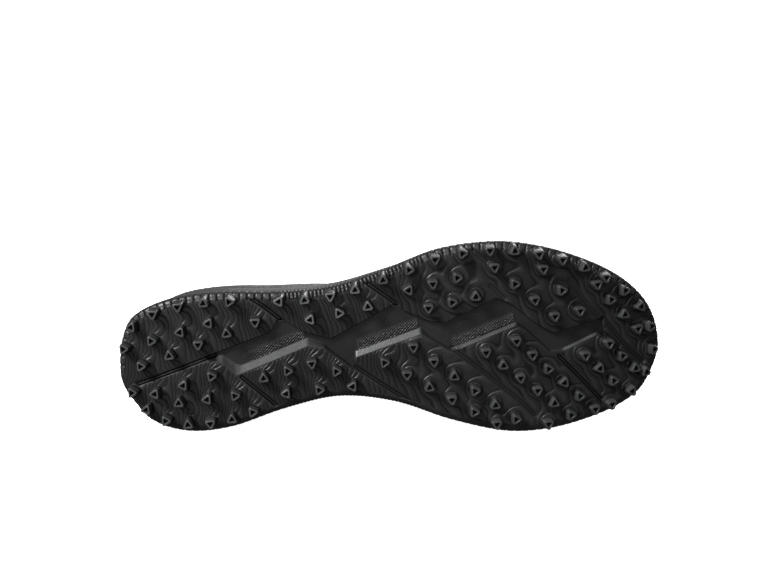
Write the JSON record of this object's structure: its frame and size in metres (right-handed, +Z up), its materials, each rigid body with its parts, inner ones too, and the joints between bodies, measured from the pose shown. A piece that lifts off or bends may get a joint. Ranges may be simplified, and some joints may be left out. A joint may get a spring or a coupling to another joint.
{
  "type": "football shoe",
  "caption": "Low turf football shoe for the right foot, lying on its inner side, with a studded rubber sole, foam midsole, hollow laced upper, tongue and insole.",
  "frame": {"origin": "middle of the bounding box in plan, on the floor that the shoe lies on", "axes": "+X from heel to toe, +Y from the studs towards the collar's opening, +Z up, away from the floor"},
  "size_m": [0.2896, 0.1108, 0.1018],
  "materials": {
    "outsole_rubber": "black moulded rubber, satin",
    "midsole_foam": "black moulded foam, matt",
    "upper_synthetic": "black grained synthetic, satin",
    "lining_textile": "black knitted lining",
    "insole_textile": "dark grey fine textile",
    "lace_textile": "black flat woven lace"
  },
  "bodies": {
    "root": {"outsole": "outsole_rubber", "midsole": "midsole_foam", "upper": "upper_synthetic", "tongue": "lining_textile", "insole": "insole_textile", "lace_bar_1": "lace_textile", "lace_bar_2": "lace_textile", "lace_bar_3": "lace_textile", "lace_bar_4": "lace_textile", "lace_bar_5": "lace_textile", "lace_bar_6": "lace_textile"}
  },
  "joints": []
}
